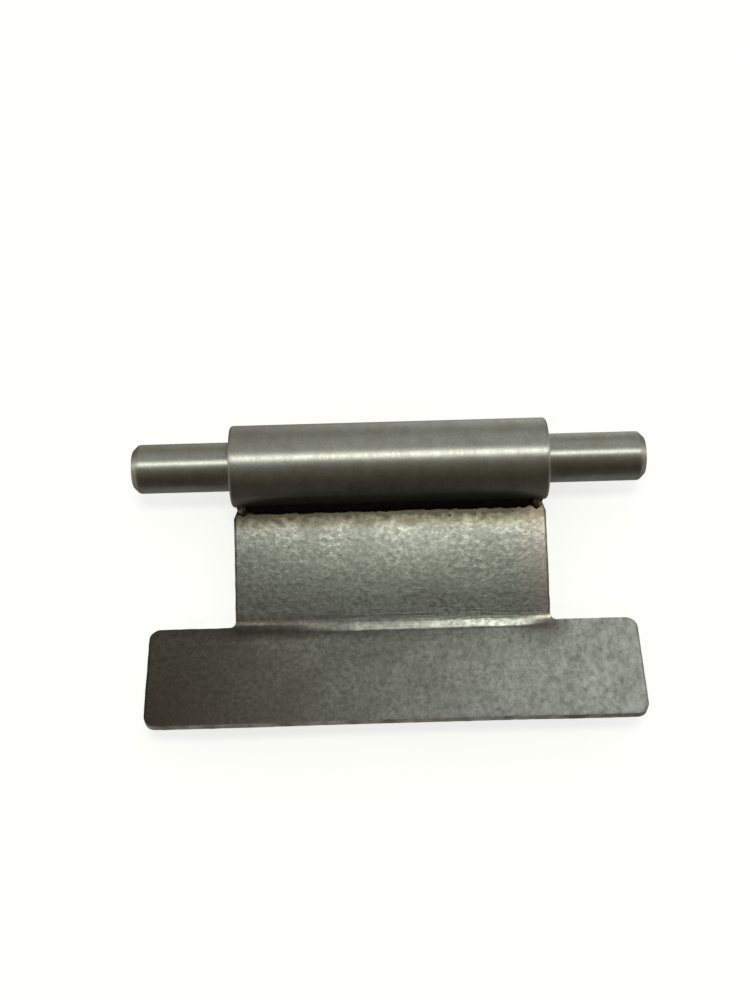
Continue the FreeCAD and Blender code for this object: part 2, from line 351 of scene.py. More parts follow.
@dataclass(frozen=True)
class TumbledSheet(Finish):
    """Cold-rolled sheet, blanked, bent and tumbled in stone.

    Tumbling leaves a cloudy satin skin with small shallow dents. Painted shade darkens
    the front of the neck, the left of the bend and the low left of the foot, and beside
    the weld it joins the heat tint; painted light brightens the neck's right edge and the
    foot towards the right.
    Places are in millimetres in the upright frame of the neck.
    """

    shade: str
    patch: str
    # The next five colours carry painted shade and light; the seam's two also hold its heat
    # tint and rust.
    painted_neck_shade: str
    heat_tint_and_shade: str
    rust_and_shade: str
    painted_pink_sheen: str
    painted_brown_shade: str
    mill_skin: str
    slope: float
    seam_mm: float
    bend_mm: float
    bend_turn: float
    corner_mm: float
    front_mm: float

    def patterns(
        self, tree: bpy.types.NodeTree, place: bpy.types.Node
    ) -> dict[str, object]:
        """Coordinates and noises that the masks are made of.

        Args:
            tree: Node tree of the material.
            place: Coordinates in millimetres, upright to the neck.

        Returns:
            Name to node or socket.
        """
        stretched, slanted = (
            add_node(
                tree,
                "Mapping",
                {
                    "Vector": place,
                    "Scale": scale,
                    "Rotation": (0.0, 0.0, math.radians(turn)),
                },
            )
            for scale, turn in (((0.16, 6.0, 6.0), 0.0), ((1.25, 0.75, 1.0), -24.0))
        )
        # Name, coordinates, scale per millimetre, detail, roughness.
        noises = (
            ("cloud", place, 0.28, 6.0, 0.62),
            ("mottle", place, 1.7, 4.0, 0.55),
            ("fine", place, 5.0, 3.0, 0.6),
            ("ragged", place, 0.9, 3.0, 0.55),
            ("streaks", stretched, 1.0, 3.0, 0.6),
            ("brushing", slanted, 1.0, 3.0, 0.55),
        )
        parts: dict[str, object] = {
            name: add_node(
                tree,
                "TexNoise",
                {"Vector": where, "Scale": scale, "Detail": detail, "Roughness": rough},
            )
            for name, where, scale, detail, rough in noises
        }
        axes = add_node(tree, "SeparateXYZ", {0: place})
        parts.update(zip("xyz", axes.outputs))
        cells = add_node(
            tree, "TexVoronoi", {"Vector": place, "Scale": 0.42, "Randomness": 1.0}
        )
        parts["from_cell"] = cells.outputs["Distance"]
        parts["cell"] = add_node(tree, "SeparateXYZ", {0: cells.outputs["Color"]})
        return parts

    def steps(self) -> tuple[tuple, ...]:
        """How each mask is worked out from the patterns.

        Returns:
            Rows of (name, operation, values). A value is a number or an earlier
            name. SPREAD maps its value from two limits to 0 and 1 or to two others.
        """
        turn = math.radians(self.bend_turn)
        return (
            ("mottled", SPREAD, "mottle", 0.35, 0.68),
            ("clouded", SPREAD, "cloud", 0.4, 0.7, 0.0, 0.6),
            # The back kept its mill skin: depth below the fronts of neck and foot.
            ("below_neck", "SUBTRACT", "z", self.front_mm),
            ("past_corner", "SUBTRACT", "y", self.corner_mm),
            ("down_foot", "MULTIPLY", "past_corner", math.sin(turn)),
            ("into_foot", "MULTIPLY", "below_neck", math.cos(turn)),
            ("below_foot", "ADD", "down_foot", "into_foot"),
            ("depth", "MINIMUM", "below_neck", "below_foot"),
            ("back", SPREAD, "depth", -0.35, -0.65),
            ("front", "SUBTRACT", 1.0, "back"),
            ("milled", "MULTIPLY", "back", 0.7),
            # Painted shade: the front of the neck is darkened as far as the bend and over the
            # bend's highlight, so the lamp's reflection there stays dim.
            ("off_middle", "ABSOLUTE", "x"),
            ("between_sides", SPREAD, "off_middle", 21.5, 18.8),
            ("above_bend", SPREAD, "y", -21.4, -20.2),
            ("neck_both", "MULTIPLY", "above_bend", "between_sides"),
            ("neck", "MULTIPLY", "neck_both", "front"),
            # Paler patches on the foot, more of them towards the right: partly the tumbled
            # mottle, partly painted light that brightens the foot to the right. The same share
            # shapes the foot's relief.
            ("not_neck", "SUBTRACT", 1.0, "neck"),
            ("rightwards", SPREAD, "x", -14.0, 22.0, 0.06, 0.62),
            ("hammered", "MULTIPLY", "rightwards", "not_neck"),
            ("patches", SPREAD, "brushing", 0.3, 0.7),
            ("patched", "MULTIPLY", "patches", "hammered"),
            ("hammering", "MULTIPLY", "brushing", "hammered"),
            # Painted shade: the bend is darkened and browned towards the left, so that its
            # highlight fades there. The same share makes the bend rougher at the left.
            ("off_bend", "ADD", "y", self.bend_mm),
            ("from_bend", "ABSOLUTE", "off_bend"),
            ("in_bend", SPREAD, "from_bend", 0.9, 2.2, 1.0, 0.0),
            ("leftwards", SPREAD, "x", 9.0, -13.0),
            ("dull", "MULTIPLY", "in_bend", "leftwards"),
            ("dulled", "MULTIPLY", "dull", 0.55),
            ("bend_lines", "MULTIPLY", "streaks", "in_bend"),
            # Darker within two millimetres of the seam: partly heat tint from the weld, partly
            # painted shade of the corner under the barrel and painted reflection of the
            # barrel's dark underside.
            ("from_seam", "ADD", "y", self.seam_mm),
            ("wander", SPREAD, "ragged", 0.3, 0.7, -0.45, 0.45),
            ("tint_edge", "ADD", "from_seam", "wander"),
            ("rusted", SPREAD, "tint_edge", -2.1, -0.7, 0.0, 0.75),
            ("tinted", SPREAD, "tint_edge", -1.3, 0.0),
            # Painted light: a paler pinkish sheen by the neck's right edge. Painted shade:
            # brown and darker low on the left of the foot.
            ("by_right_edge", SPREAD, "x", 15.0, 20.0),
            ("neck_edge", "MULTIPLY", "by_right_edge", "neck"),
            ("pinked", "MULTIPLY", "neck_edge", 0.22),
            ("far_left", SPREAD, "x", -6.0, -26.0),
            ("low", SPREAD, "y", -14.0, -31.0),
            ("low_left", "MULTIPLY", "far_left", "low"),
            ("browned", "MULTIPLY", "low_left", 0.8),
            # The cloudy skin is uneven in its gloss, and the bend is rougher towards the left.
            ("satin", SPREAD, "cloud", 0.3, 0.7, self.roughness - 0.02, self.roughness + 0.04),
            ("matter", "MULTIPLY", "dull", 0.14),
            ("rough", "ADD", "satin", "matter"),
            # Dents from the stone: a few tenths of a millimetre, in one cell of a few.
            ("hollow", SPREAD, "from_cell", 0.0, 0.1, 1.0, 0.0),
            ("chosen", SPREAD, "cell", 0.6, 0.9),
            ("dents", "MULTIPLY", "hollow", "chosen"),
        )

    def make(self) -> bpy.types.Material:
        """Build the node tree.

        Returns:
            The finished material.
        """
        material, tree, surface = self.start()
        parts = self.patterns(tree, self.millimetres(tree, -self.slope))
        for name, step, *values in self.steps():
            kind = "MapRange" if step == SPREAD else "Math"
            settings = {} if step == SPREAD else {"operation": step}
            sources = (parts[v] if isinstance(v, str) else v for v in values)
            parts[name] = add_node(tree, kind, dict(enumerate(sources)), **settings)
        # Coats of colour in order: where, which, and how it is laid on.
        coats = (
            ("mottled", self.shade, "MIX"),
            ("clouded", self.shade, "MIX"),
            ("milled", self.mill_skin, "MIX"),
            # painted shade on the front of the neck and over the bend
            ("neck", self.painted_neck_shade, "MULTIPLY"),
            # paler mottled patches, with painted light that grows towards the right
            ("patched", self.patch, "MIX"),
            # painted shade on the left of the bend
            ("dulled", self.painted_brown_shade, "MULTIPLY"),
            # rust and heat tint beside the seam, with painted shade of the corner under the
            # barrel
            ("rusted", self.rust_and_shade, "MIX"),
            # darkest next to the seam: heat tint with painted shade and painted reflection
            ("tinted", self.heat_tint_and_shade, "MIX"),
            # painted light: pinkish sheen by the neck's right edge
            ("pinked", self.painted_pink_sheen, "MIX"),
            # painted shade: brown low on the left of the foot
            ("browned", self.painted_brown_shade, "MIX"),
        )
        skin: object = linear(self.colour)
        for share, coat, how in coats:
            skin = add_node(
                tree,
                "Mix",
                {"Factor": parts[share], MIX_A: skin, MIX_B: linear(coat)},
                data_type="RGBA",
                blend_type=how,
            )
        grain = add_node(
            tree,
            "ValToRGB",
            {"Fac": parts["fine"]},
            stops=[(0.35, grey(0.8)), (0.62, grey(1.0))],
        )
        skin = add_node(
            tree,
            "Mix",
            {"Factor": 1.0, MIX_A: skin, MIX_B: grain},
            data_type="RGBA",
            blend_type="MULTIPLY",
        )
        feed(surface, {"Base Color": skin, "Roughness": parts["rough"]})
        # Relief in order: what it follows, and its height in millimetres.
        reliefs = (
            ("mottle", 0.010),
            ("fine", 0.004),
            ("dents", -0.010),
            ("hammering", 0.014),
            ("bend_lines", 0.010),
        )
        for name, height in reliefs:
            relief = {"Height": parts[name], "Strength": 1.0, "Distance": abs(height) * MM}
            if "normal" in parts:
                relief["Normal"] = parts["normal"]
            parts["normal"] = add_node(tree, "Bump", relief, invert=height < 0)
        feed(surface, {"Normal": parts["normal"]})
        return material


@dataclass(frozen=True)
class ShearedEdge(Finish):
    """Edge left by the blanking die, burnished near one face and torn near the other.

    Short scores and a thin oxide film scatter light, so it looks paler than the skin.
    """

    burr: str
    metal: float

    def make(self) -> bpy.types.Material:
        """Build the node tree.

        Returns:
            The finished material.
        """
        material, tree, surface = self.start()
        place = self.millimetres(tree)
        drawn = add_node(tree, "Mapping", {"Vector": place, "Scale": (5.0, 1.2, 1.2)})
        # Scores across the thickness, and torn patches a few millimetres long.
        scores, patches = (
            add_node(
                tree,
                "TexNoise",
                {"Vector": where, "Scale": scale, "Detail": detail, "Roughness": 0.6},
            )
            for where, scale, detail in ((drawn, 1.0, 3.0), (place, 0.35, 4.0))
        )
        torn = add_node(
            tree, "MapRange", {"Value": patches, "From Min": 0.4, "From Max": 0.65}
        )
        colour = add_node(
            tree,
            "Mix",
            {"Factor": torn, MIX_A: linear(self.colour), MIX_B: linear(self.burr)},
            data_type="RGBA",
        )
        relief = add_node(
            tree, "Bump", {"Height": scores, "Strength": 1.0, "Distance": 0.02 * MM}
        )
        feed(surface, {"Metallic": self.metal, "Base Color": colour, "Normal": relief})
        return material


@dataclass(frozen=True)
class WeldMetal(Finish):
    """Bead laid by hand and only wire-brushed.

    Scale between the ripples stays dark brown while the crests rub bright.
    """

    scale_colour: str

    def make(self) -> bpy.types.Material:
        """Build the node tree.

        Returns:
            The finished material.
        """
        material, tree, surface = self.start()
        place = self.millimetres(tree)
        # Patches of scale, and the finer grit that makes the metal sparkle.
        scale, grit = (
            add_node(
                tree,
                "TexNoise",
                {"Vector": place, "Scale": size, "Detail": detail, "Roughness": rough},
            )
            for size, detail, rough in ((1.6, 6.0, 0.7), (4.5, 3.0, 0.6))
        )
        rubbed = add_node(
            tree, "MapRange", {"Value": scale, "From Min": 0.42, "From Max": 0.6}
        )
        colour = add_node(
            tree,
            "Mix",
            {"Factor": rubbed, MIX_A: linear(self.scale_colour), MIX_B: linear(self.colour)},
            data_type="RGBA",
        )
        rough = add_node(
            tree,
            "MapRange",
            {"Value": rubbed, "To Min": self.roughness + 0.2, "To Max": self.roughness},
        )
        relief = add_node(
            tree, "Bump", {"Height": grit, "Strength": 1.0, "Distance": 0.03 * MM}
        )
        feed(surface, {"Base Color": colour, "Roughness": rough, "Normal": relief})
        return material


# Stainless bar, turned: a grainy bright line along the top, brownish below.
PIN_STEEL = TurnedSteel(
    "pin_turned_stainless_bar",
    "#dddeda",
    0.46,
    ring_mm=0.30,
    ring_depth_mm=0.005,
    stain="#b8afa0",
    smear=0.88,
)
# Stainless tube, turned: the same line, broader, over faint sanding rings.
BARREL_STEEL = replace(
    PIN_STEEL, name="barrel_turned_stainless_tube", ring_mm=0.34, stain="#b3aca0"
)
# Sheet cut by a die: a pale dull line round the leaf.
EDGE_STEEL = ShearedEdge(
    "leaf_sheared_edge", "#b0ada3", 0.5, burr="#7b6f62", metal=0.65
)
# Rolled sheet, tumbled: cloudy grey satin, mirror-like enough to shade with the room.
LEAF_STEEL = TumbledSheet(
    "leaf_tumbled_rolled_sheet",
    "#989895",
    0.245,
    shade="#6f706e",
    # paler patches: mottle, and painted light towards the foot's right
    patch="#b9bab6",
    # painted shade laid over the front of the neck and the bend
    painted_neck_shade="#c4c6c4",
    # heat tint and painted shade next to the seam
    heat_tint_and_shade="#2a2821",
    # rust and painted shade in the band beside the seam
    rust_and_shade="#5a564b",
    # painted light by the neck's right edge
    painted_pink_sheen="#a08c84",
    # painted shade at the bend's left and low on the foot's left
    painted_brown_shade="#6d6156",
    mill_skin="#cfd1cc",
    slope=NECK_TILT,
    seam_mm=6.2,
    bend_mm=19.4,
    bend_turn=BEND_TURN,
    corner_mm=BEND_CORNER,
    front_mm=NECK_FRONT,
)
# Weld metal, brushed: a dark ragged band with dull crests, paler in the end tacks.
WELD_METAL = WeldMetal("weld_brushed_bead", "#4d4941", 0.5, scale_colour="#322e28")
TACK_METAL = WeldMetal("weld_brushed_tack", "#aaa294", 0.40, scale_colour="#6b5d4d")


def write_piece(
    shape: Bmesh,
    name: str,
    body: Body,
    nodes: Iterable[str],
    finish: bpy.types.Material,
    sharp: float = 50.0,
) -> Thing:
    """Turn a shape drawn in millimetres into a piece that rides on its body.

    Args:
        shape: Finished bmesh, in millimetres; it is freed.
        name: Name of the piece.
        body: Body that it moves with.
        nodes: CAD nodes that it stands for.
        finish: Its material.
        sharp: Edges that turn by more degrees than this stay sharp.

    Returns:
        The piece.
    """
    bmesh.ops.scale(shape, vec=(MM, MM, MM), verts=shape.verts)
    for face in shape.faces:
        face.smooth = True
    mesh = bpy.data.meshes.new(name)
    shape.to_mesh(mesh)
    shape.free()
    mesh.set_sharp_from_angle(angle=math.radians(sharp))
    mesh.materials.append(finish)
    piece = bpy.data.objects.new(name, mesh)
    bpy.context.scene.collection.objects.link(piece)
    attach(piece, body.value)
    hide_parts(*nodes)
    LOG.info("%s: %d faces on body %s", name, len(mesh.polygons), body.value)
    return piece


def spin_profile(
    profile: Sequence[tuple[float, float]], steps: int, closed: bool
) -> Bmesh:
    """Turn a half section about the X axis.

    Args:
        profile: Points (along the axis, radius), in order.
        steps: Number of faces round the axis.
        closed: Whether the last point joins the first, as for a tube.

    Returns:
        The turned shape, closed, with its faces outward.
    """
    shape = bmesh.new()
    points = [shape.verts.new((along, radius, 0.0)) for along, radius in profile]
    pairs = list(zip(points, points[1:]))
    if closed:
        pairs.append((points[-1], points[0]))
    lines = [shape.edges.new(pair) for pair in pairs]
    bmesh.ops.spin(
        shape,
        geom=points + lines,
        cent=(0, 0, 0),
        axis=(1, 0, 0),
        angle=math.tau,
        steps=steps,
        use_merge=True,
    )
    bmesh.ops.remove_doubles(shape, verts=shape.verts, dist=1e-4)
    bmesh.ops.recalc_face_normals(shape, faces=shape.faces)
    return shape


def ring_edges(
    shape: Bmesh, wanted: Callable[[float, float], bool]
) -> list[bmesh.types.BMEdge]:
    """Edges of the circles that a test on (along the axis, radius) picks out.

    Args:
        shape: A shape turned about the X axis.
        wanted: Test on a vertex's place along the axis and its radius.

    Returns:
        Edges whose two ends lie on the same circle and pass the test.
    """

    def polar(vertex: bmesh.types.BMVert) -> tuple[float, float]:
        """Place along the axis and radius."""
        return vertex.co.x, math.hypot(vertex.co.y, vertex.co.z)

    picked = []
    for edge in shape.edges:
        (along_a, radius_a), (along_b, radius_b) = map(polar, edge.verts)
        level = abs(along_a - along_b) < 1e-3 and abs(radius_a - radius_b) < 1e-3
        if level and wanted(along_a, radius_a):
            picked.append(edge)
    return picked


def soften(
    shape: Bmesh, edges: list[bmesh.types.BMEdge], size: float, segments: int
) -> None:
    """Round edges over.

    Args:
        shape: Shape that is changed.
        edges: Edges to round.
        size: Width taken from each side, in millimetres.
        segments: Number of faces across the rounding.
    """
    bmesh.ops.bevel(
        shape,
        geom=edges,
        offset=size,
        offset_type="OFFSET",
        segments=segments,
        profile=0.5,
        affect="EDGES",
        clamp_overlap=True,
        material=-1,
    )


@dataclass
class HingePin:
    """Shouldered pin: a journal inside the barrel and a thinner end on each side."""

    tip_radius: float = 3.0
    tip_chamfer: float = 0.8
    tip_round: float = 0.22
    journal_radius: float = 3.5
    shoulder: float = 19.15
    shoulder_round: float = 0.06
    groove_half: float = 1.3
    groove_radius: float = 2.9
    groove_round: float = 0.12
    steps: int = 128

    def build(self) -> Bmesh:
        """Turn the pin's half section and round its edges.

        Returns:
            The pin in millimetres.
        """
        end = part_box("hinge_pin")[1].x / MM
        half = [
            (self.groove_half, self.groove_radius),
            (self.groove_half, self.journal_radius),
            (self.shoulder, self.journal_radius),
            (self.shoulder, self.tip_radius),
            (end - self.tip_chamfer, self.tip_radius),
            (end, self.tip_radius - self.tip_chamfer),
            (end, 0.0),
        ]
        profile = [(-along, radius) for along, radius in reversed(half)] + half
        shape = spin_profile(profile, self.steps, closed=False)
        tip = end - self.tip_chamfer
        crest = self.journal_radius - NEAR
        rims = (
            (lambda x, r: abs(x) > tip - NEAR and r > 1.0, self.tip_round, 4),
            (lambda x, r: abs(x) < self.groove_half + NEAR and r > 1.0, self.groove_round, 3),
            (
                lambda x, r: abs(abs(x) - self.shoulder) < NEAR and r > crest,
                self.shoulder_round,
                2,
            ),
        )
        for wanted, size, segments in rims:
            soften(shape, ring_edges(shape, wanted), size, segments)
        return shape

    def dress(self) -> Thing:
        """Write the pin as a piece with its finish."""
        return write_piece(
            self.build(), "pin_turned", Body.PIN, ["hinge_pin"], PIN_STEEL.make()
        )


@dataclass
class BarrelTube:
    """Tube that turns on the pin, with a punch mark that stakes a lug inwards."""

    bore_radius: float = 3.55
    outer_round: float = 0.38
    bore_round: float = 0.15
    mark_radius: float = 0.7
    mark_depth: float = 1.0
    mark_lip: float = 0.05
    lug_reach: float = 0.35
    fine_half: float = 1.2
    fine_steps: int = 24
    steps: int = 192

    def build(self) -> Bmesh:
        """Turn the tube, round its edges and sink the punch mark.

        Returns:
            The tube in millimetres.
        """
        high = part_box("barrel_tube")[1]
        end, radius = high.x / MM, high.z / MM
        fine = [
            self.fine_half * (2 * i / self.fine_steps - 1) for i in range(self.fine_steps + 1)
        ]
        outside = [(-end, radius), *((x, radius) for x in fine), (end, radius)]
        inside = [
            (end, self.bore_radius),
            *((x, self.bore_radius) for x in reversed(fine)),
            (-end, self.bore_radius),
        ]
        shape = spin_profile(outside + inside, self.steps, closed=True)
        rim, mouth = radius - NEAR, self.bore_radius + NEAR
        rims = (
            (lambda x, r: abs(x) > end - NEAR and r > rim, self.outer_round, 5),
            (lambda x, r: abs(x) > end - NEAR and r < mouth, self.bore_round, 3),
        )
        for wanted, size, segments in rims:
            soften(shape, ring_edges(shape, wanted), size, segments)
        self.punch(shape, radius)
        return shape

    def punch(self, shape: Bmesh, radius: float) -> None:
        """Push the punch mark into the underside and the lug out of the bore.

        Args:
            shape: The tube, changed in place.
            radius: Its outer radius.
        """
        wide = 1.5 * self.mark_radius
        for vertex in shape.verts:
            place = vertex.co
            from_mark = math.hypot(place.x, place.y)
            if place.z > 0 or from_mark > wide:
                continue
            ring = from_mark / self.mark_radius
            if math.hypot(place.y, place.z) > (radius + self.bore_radius) / 2:
                sunk = self.mark_depth * max(0.0, 1.0 - ring**2) ** 0.6
                lip = self.mark_lip * math.exp(-(((ring - 1.15) / 0.16) ** 2))
                place.z += sunk - (lip if ring > 1.0 else 0.0) * 0.5
            elif ring < 1.25:
                place.z += self.lug_reach * min(1.0, max(0.0, (1.25 - ring) / 0.35))

    def dress(self) -> Thing:
        """Write the barrel as a piece with its finish."""
        return write_piece(
            self.build(),
            "barrel_turned",
            Body.LEAF,
            ["barrel_tube"],
            BARREL_STEEL.make(),
        )


@dataclass
class LeafPlate:
    """T-shaped blank with one soft bend: a neck at the barrel and a wide foot.

    The sheet is drawn flat, with its length measured from the line where the
    neck's and the foot's front faces would meet, and is then bent and tilted.
    """

    thickness: float = 1.0
    corner_y: float = BEND_CORNER
    neck_z: float = NECK_FRONT
    tilt: float = NECK_TILT
    bend: float = BEND_TURN
    tight_radius: float = 2.2
    soft_turns: tuple[tuple[float, float], ...] = (
        (0.75, 0.0),
        (-0.85, 7.5),
        (-1.1, 25.0),
        (-1.35, 29.0),
    )
    soft_step: float = 0.05
    soft_right: tuple[float, float] = (14.5, 22.5)
    soft_left: tuple[float, float] = (4.0, 19.0)
    settle: float = 3.0
    bow: float = 0.12
    neck_half: float = 19.25
    seam_half: float = 18.8
    seam_reach: float = 14.95
    step_start: float = 14.35
    step_end: float = 13.15
    foot_half: float = 29.75
    foot_top: float = 0.249
    foot_end: float = 13.249
    foot_corner: float = 1.4
    inner_corner: float = 0.8
    edge_round: float = 0.22
    barrel_radius: float = BARREL_RADIUS
    grid: float = 0.7
    grid_fine: float = 0.15
    rows_fine: tuple[float, int] = (-2.4, 33)
    rows_coarse: float = 3.0
    columns_fine: float = 16.45
    edge_wander: float = 0.045
    face_wander: float = 0.012
    stations: list[tuple[float, float, float, float]] = field(default_factory=list)

    def outline(self) -> Bmesh:
        """Draw the flat blank with its rounded corners.

        Returns:
            One flat face, x across and y towards the barrel.
        """
        shape = bmesh.new()
        right = [
            (self.seam_half, self.seam_reach),
            (self.seam_half, self.step_start),
            (self.neck_half, self.step_end),
            (self.neck_half, -self.foot_top),
            (self.foot_half, -self.foot_top),
            (self.foot_half, -self.foot_end),
        ]
        left = [(-across, along) for across, along in reversed(right)]
        points = [shape.verts.new((*place, 0.0)) for place in right + left]
        face = shape.faces.new(points)
        face.normal_update()
        if face.normal.z < 0:
            face.normal_flip()
        outer = [v for v in shape.verts if abs(v.co.x) > self.foot_half - NEAR]
        inner = [
            v
            for v in shape.verts
            if abs(abs(v.co.x) - self.neck_half) < NEAR and v.co.y < 0
        ]
        for corners, radius, segments in (
            (outer, self.foot_corner, 10),
            (inner, self.inner_corner, 8),
        ):
            bmesh.ops.bevel(
                shape,
                geom=corners,
                offset=radius,
                offset_type="OFFSET",
                segments=segments,
                profile=0.5,
                affect="VERTICES",
                material=-1,
            )
        return shape

    def rule(self, shape: Bmesh) -> None:
        """Cut the flat face into a grid, closer across the bend and at the neck's sides.

        Args:
            shape: The blank, changed in place.
        """
        count = int(self.foot_half / self.grid)
        columns = [i * self.grid for i in range(-count, count + 1)]
        columns += [
            side * (self.columns_fine + self.grid * i) for side in (-1, 1) for i in range(7)
        ]
        first, number = self.rows_fine
        # No row within a rounded rim's width of the shoulders' top edge.
        rows = [first + self.grid_fine * i for i in range(number) if i not in (13, 14)]
        rows += [self.rows_coarse + self.grid * i for i in range(17)]
        rows += [-self.rows_coarse - self.grid * i for i in range(15)]
        for axis, places in ((0, columns), (1, rows)):
            normal = Vector((1.0 - axis, float(axis), 0.0))
            for place in sorted(set(round(p, 4) for p in places)):
                bmesh.ops.bisect_plane(
                    shape,
                    geom=shape.verts[:] + shape.edges[:] + shape.faces[:],
                    dist=1e-4,
                    plane_co=normal * place,
                    plane_no=normal,
                )

    def profile(self, along: float, radius: float) -> tuple[float, float, float]:
        """Front face of the bent sheet in its own upright frame.

        Args:
            along: Distance from the corner line, negative towards the free edge.
            radius: Inside radius of the bend.

        Returns:
            y, z and the turn of the face in radians.
        """
        turn = math.radians(self.bend)
        reach = radius * math.tan(turn / 2)
        if along >= reach:
            return self.corner_y + along, self.neck_z, 0.0
        if along <= -reach:
            return (
                self.corner_y + along * math.cos(turn),
                self.neck_z - along * math.sin(turn),
                turn,
            )
        angle = turn * (reach - along) / (2 * reach)
        y = self.corner_y + reach - radius * math.sin(angle)
        z = self.neck_z + radius * (1.0 - math.cos(angle))
        return y, z, angle

    def soft_profile(self) -> list[tuple[float, float, float, float]]:
        """Front face in the middle of the neck, where the bend spreads into the foot.

        The turn follows soft_turns and then settles into the plane of the flat foot.

        Returns:
            Stations of (along, y, z, turn), from the neck to past the free edge.
        """
        flat = math.radians(self.bend)
        last = self.soft_turns[-1][0]
        along, turn = self.soft_turns[0]
        y, z = self.corner_y + along, self.neck_z
        stations = [(along, y, z, turn)]
        while along > -self.foot_end - 0.5:
            if along > last:
                for (near, low), (far, high) in zip(self.soft_turns, self.soft_turns[1:]):
                    if far <= along <= near:
                        part = (near - along) / (near - far)
                        turn = math.radians(low + (high - low) * part)
                        break
            else:
                # Back onto the flat foot's plane, over a few millimetres.
                plane_y = self.corner_y + along * math.cos(flat)
                plane_z = self.neck_z - along * math.sin(flat)
                below = (plane_z - z) * math.cos(flat) + (plane_y - y) * math.sin(flat)
                wanted = flat + below / self.settle
                turn += (wanted - turn) * min(1.0, 0.2 * (last - along + 0.2))
            along -= self.soft_step
            y -= self.soft_step * math.cos(turn)
            z += self.soft_step * math.sin(turn)
            stations.append((along, y, z, turn))
        return stations

    def soft_place(self, along: float) -> tuple[float, float, float]:
        """Front face in the middle of the neck.

        Args:
            along: Distance from the corner line, negative towards the free edge.

        Returns:
            y, z and the turn of the face in radians.
        """
        stations = self.stations
        if along >= stations[0][0]:
            return self.corner_y + along, self.neck_z, 0.0
        place = min((stations[0][0] - along) / self.soft_step, len(stations) - 1.001)
        first, second = stations[int(place)], stations[int(place) + 1]
        part = place - int(place)
        y, z, turn = (a + (b - a) * part for a, b in zip(first[1:], second[1:]))
        return y, z, turn

    def place(self, vertex: bmesh.types.BMVert) -> None:
        """Move one vertex of the flat, thick blank to the bent sheet.

        The bend is soft in the middle of the neck and tighter at its sides,
        because the free edges there let the sheet fold more sharply.

        Args:
            vertex: Vertex of the blank; its z is minus its depth in the sheet.
        """
        across, along, level = vertex.co
        near, far = self.soft_right if across > 0 else self.soft_left
        side = max(0.0, min(1.0, (abs(across) - near) / (far - near)))
        soft = 1.0 - side * side * (3.0 - 2.0 * side)
        y_soft, z_soft, turn_soft = self.soft_place(along)
        y_tight, z_tight, turn_tight = self.profile(along, self.tight_radius)
        y = y_tight + soft * (y_soft - y_tight)
        z = z_tight + soft * (z_soft - z_tight)
        turn = turn_tight + soft * (turn_soft - turn_tight)
        wave = noise.noise(Vector((across * 0.13, along * 0.16, 4.0)))
        level += self.face_wander * wave
        # The neck is bowed a little between the bend and the seam.
        if along > 0.0:
            level += self.bow * (1.0 - (2.0 * along / self.seam_reach - 1.0) ** 2)
        vertex.co = Vector((across, y + level * math.sin(turn), z + level * math.cos(turn)))

    def build(self) -> Bmesh:
        """Blank, bend and tilt the leaf.

        Returns:
            The leaf in millimetres.
        """
        shape = self.outline()
        self.rule(shape)
        # The tumbled outline wanders by a few hundredths.
        for vertex in shape.verts:
            if vertex.is_boundary and vertex.co.y < self.step_start:
                x, y = vertex.co.x * 0.9, vertex.co.y * 0.9
                vertex.co.x += self.edge_wander * noise.noise(Vector((x, y, 1.0)))
                vertex.co.y += self.edge_wander * noise.noise(Vector((x, y, 7.0)))
        made = bmesh.ops.extrude_face_region(shape, geom=shape.faces[:])
        moved = [g for g in made["geom"] if isinstance(g, bmesh.types.BMVert)]
        bmesh.ops.translate(shape, verts=moved, vec=(0.0, 0.0, -self.thickness))
        bmesh.ops.recalc_face_normals(shape, faces=shape.faces)
        # Faces across the thickness take the second finish, the sheared edge's.
        for face in shape.faces:
            face.material_index = int(abs(face.normal.z) < 0.5)
        rims = [
            edge
            for edge in shape.edges
            if edge.is_manifold
            and edge.calc_face_angle() > 1.2
            and all(v.co.y < self.seam_reach - 0.3 for v in edge.verts)
            and abs(edge.verts[0].co.z - edge.verts[1].co.z) < NEAR
        ]
        soften(shape, rims, self.edge_round, 3)
        ends = [v for v in shape.verts if v.co.y > self.seam_reach - NEAR]
        uprights = [
            edge
            for edge in shape.edges
            if all(v in ends for v in edge.verts)
            and abs(edge.verts[0].co.z - edge.verts[1].co.z) > 0.5
        ]
        bmesh.ops.subdivide_edges(shape, edges=uprights, cuts=3)
        ends = [v for v in shape.verts if v.co.y > self.seam_reach - NEAR]
        self.stations = self.soft_profile()
        for vertex in shape.verts:
            self.place(vertex)
        for vertex in ends:
            vertex.co.y = -math.sqrt(self.barrel_radius**2 - vertex.co.z**2)
        tilt = Matrix.Rotation(math.radians(self.tilt), 3, "X")
        bmesh.ops.rotate(shape, cent=(0, 0, 0), matrix=tilt, verts=shape.verts)
        bmesh.ops.recalc_face_normals(shape, faces=shape.faces)
        return shape

    def dress(self) -> Thing:
        """Write the leaf as a piece with its skin and its edge finish.

        Returns:
            The piece.
        """
        piece = write_piece(
            self.build(),
            "leaf_bent_sheet",
            Body.LEAF,
            ["leaf_plate"],
            LEAF_STEEL.make(),
            sharp=60.0,
        )
        piece.data.materials.append(EDGE_STEEL.make())
        return piece


